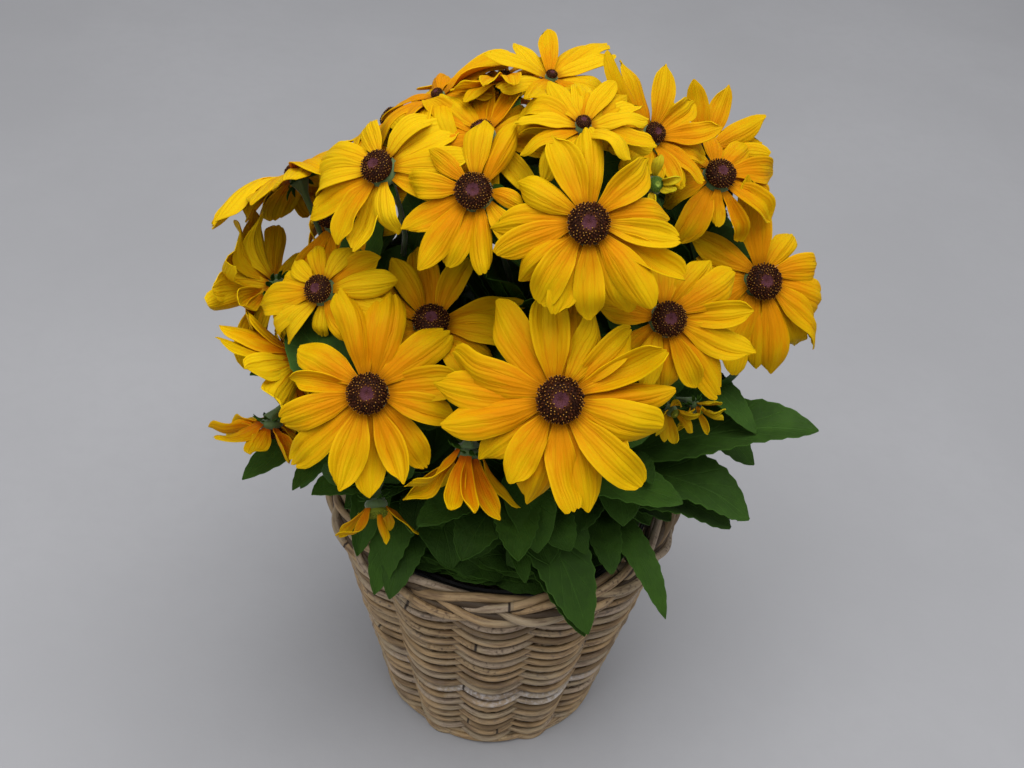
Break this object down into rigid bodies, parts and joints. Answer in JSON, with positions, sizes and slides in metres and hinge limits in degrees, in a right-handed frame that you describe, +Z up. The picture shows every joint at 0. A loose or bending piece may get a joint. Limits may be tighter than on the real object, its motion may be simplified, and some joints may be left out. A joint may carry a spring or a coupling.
{
  "type": "potted rudbeckia",
  "caption": "Bushy yellow-rayed rudbeckia plant in a black nursery pot, standing in a tapered round rattan basket with a rolled border.",
  "frame": {"origin": "centre of the basket's base, on the surface it stands on", "axes": "+Z up out of the basket, -Y towards the side that the largest blooms face"},
  "size_m": [0.3362, 0.2806, 0.4755],
  "materials": {
    "rattan": "matte",
    "pot_plastic": "satin",
    "compost": "matte",
    "leaf_green": "satin",
    "ray_yellow": "satin",
    "cone_brown": "matte"
  },
  "bodies": {
    "root": {"basket_body": "rattan", "basket_border": "rattan", "bloom_01_cone": "cone_brown", "bloom_01_rays": "ray_yellow", "bloom_02_cone": "cone_brown", "bloom_02_rays": "ray_yellow", "bloom_03_cone": "cone_brown", "bloom_03_rays": "ray_yellow", "bloom_04_cone": "cone_brown", "bloom_04_rays": "ray_yellow", "bloom_05_cone": "cone_brown", "bloom_05_rays": "ray_yellow", "bloom_06_cone": "cone_brown", "bloom_06_rays": "ray_yellow", "bloom_07_cone": "cone_brown", "bloom_07_rays": "ray_yellow", "bloom_08_cone": "cone_brown", "bloom_08_rays": "ray_yellow", "bloom_09_cone": "cone_brown", "bloom_09_rays": "ray_yellow", "bloom_10_cone": "cone_brown", "bloom_10_rays": "ray_yellow", "bloom_11_cone": "cone_brown", "bloom_11_rays": "ray_yellow", "bloom_12_cone": "cone_brown", "bloom_12_rays": "ray_yellow", "bloom_13_cone": "cone_brown", "bloom_13_rays": "ray_yellow", "bloom_14_rays": "ray_yellow", "bloom_15_rays": "ray_yellow", "bloom_16_rays": "ray_yellow", "bloom_17_rays": "ray_yellow", "bloom_18_rays": "ray_yellow", "bloom_19_rays": "ray_yellow", "bloom_20_rays": "ray_yellow", "bloom_21_rays": "ray_yellow", "bloom_22_rays": "ray_yellow", "bloom_23_rays": "ray_yellow", "bloom_24_rays": "ray_yellow", "bloom_25_rays": "ray_yellow", "bloom_26_rays": "ray_yellow", "bloom_27_rays": "ray_yellow", "bloom_28_rays": "ray_yellow", "bloom_29_rays": "ray_yellow", "bloom_30_rays": "ray_yellow", "bloom_31_rays": "ray_yellow", "bloom_32_rays": "ray_yellow", "bloom_33_rays": "ray_yellow", "bloom_34_rays": "ray_yellow", "nursery_pot": "pot_plastic", "soil": "compost", "stem_back_left": "leaf_green", "stem_back_right": "leaf_green", "stem_front": "leaf_green", "stem_left": "leaf_green", "stem_left_front": "leaf_green", "stem_middle": "leaf_green", "stem_right": "leaf_green", "stem_right_front": "leaf_green"}
  },
  "joints": []
}
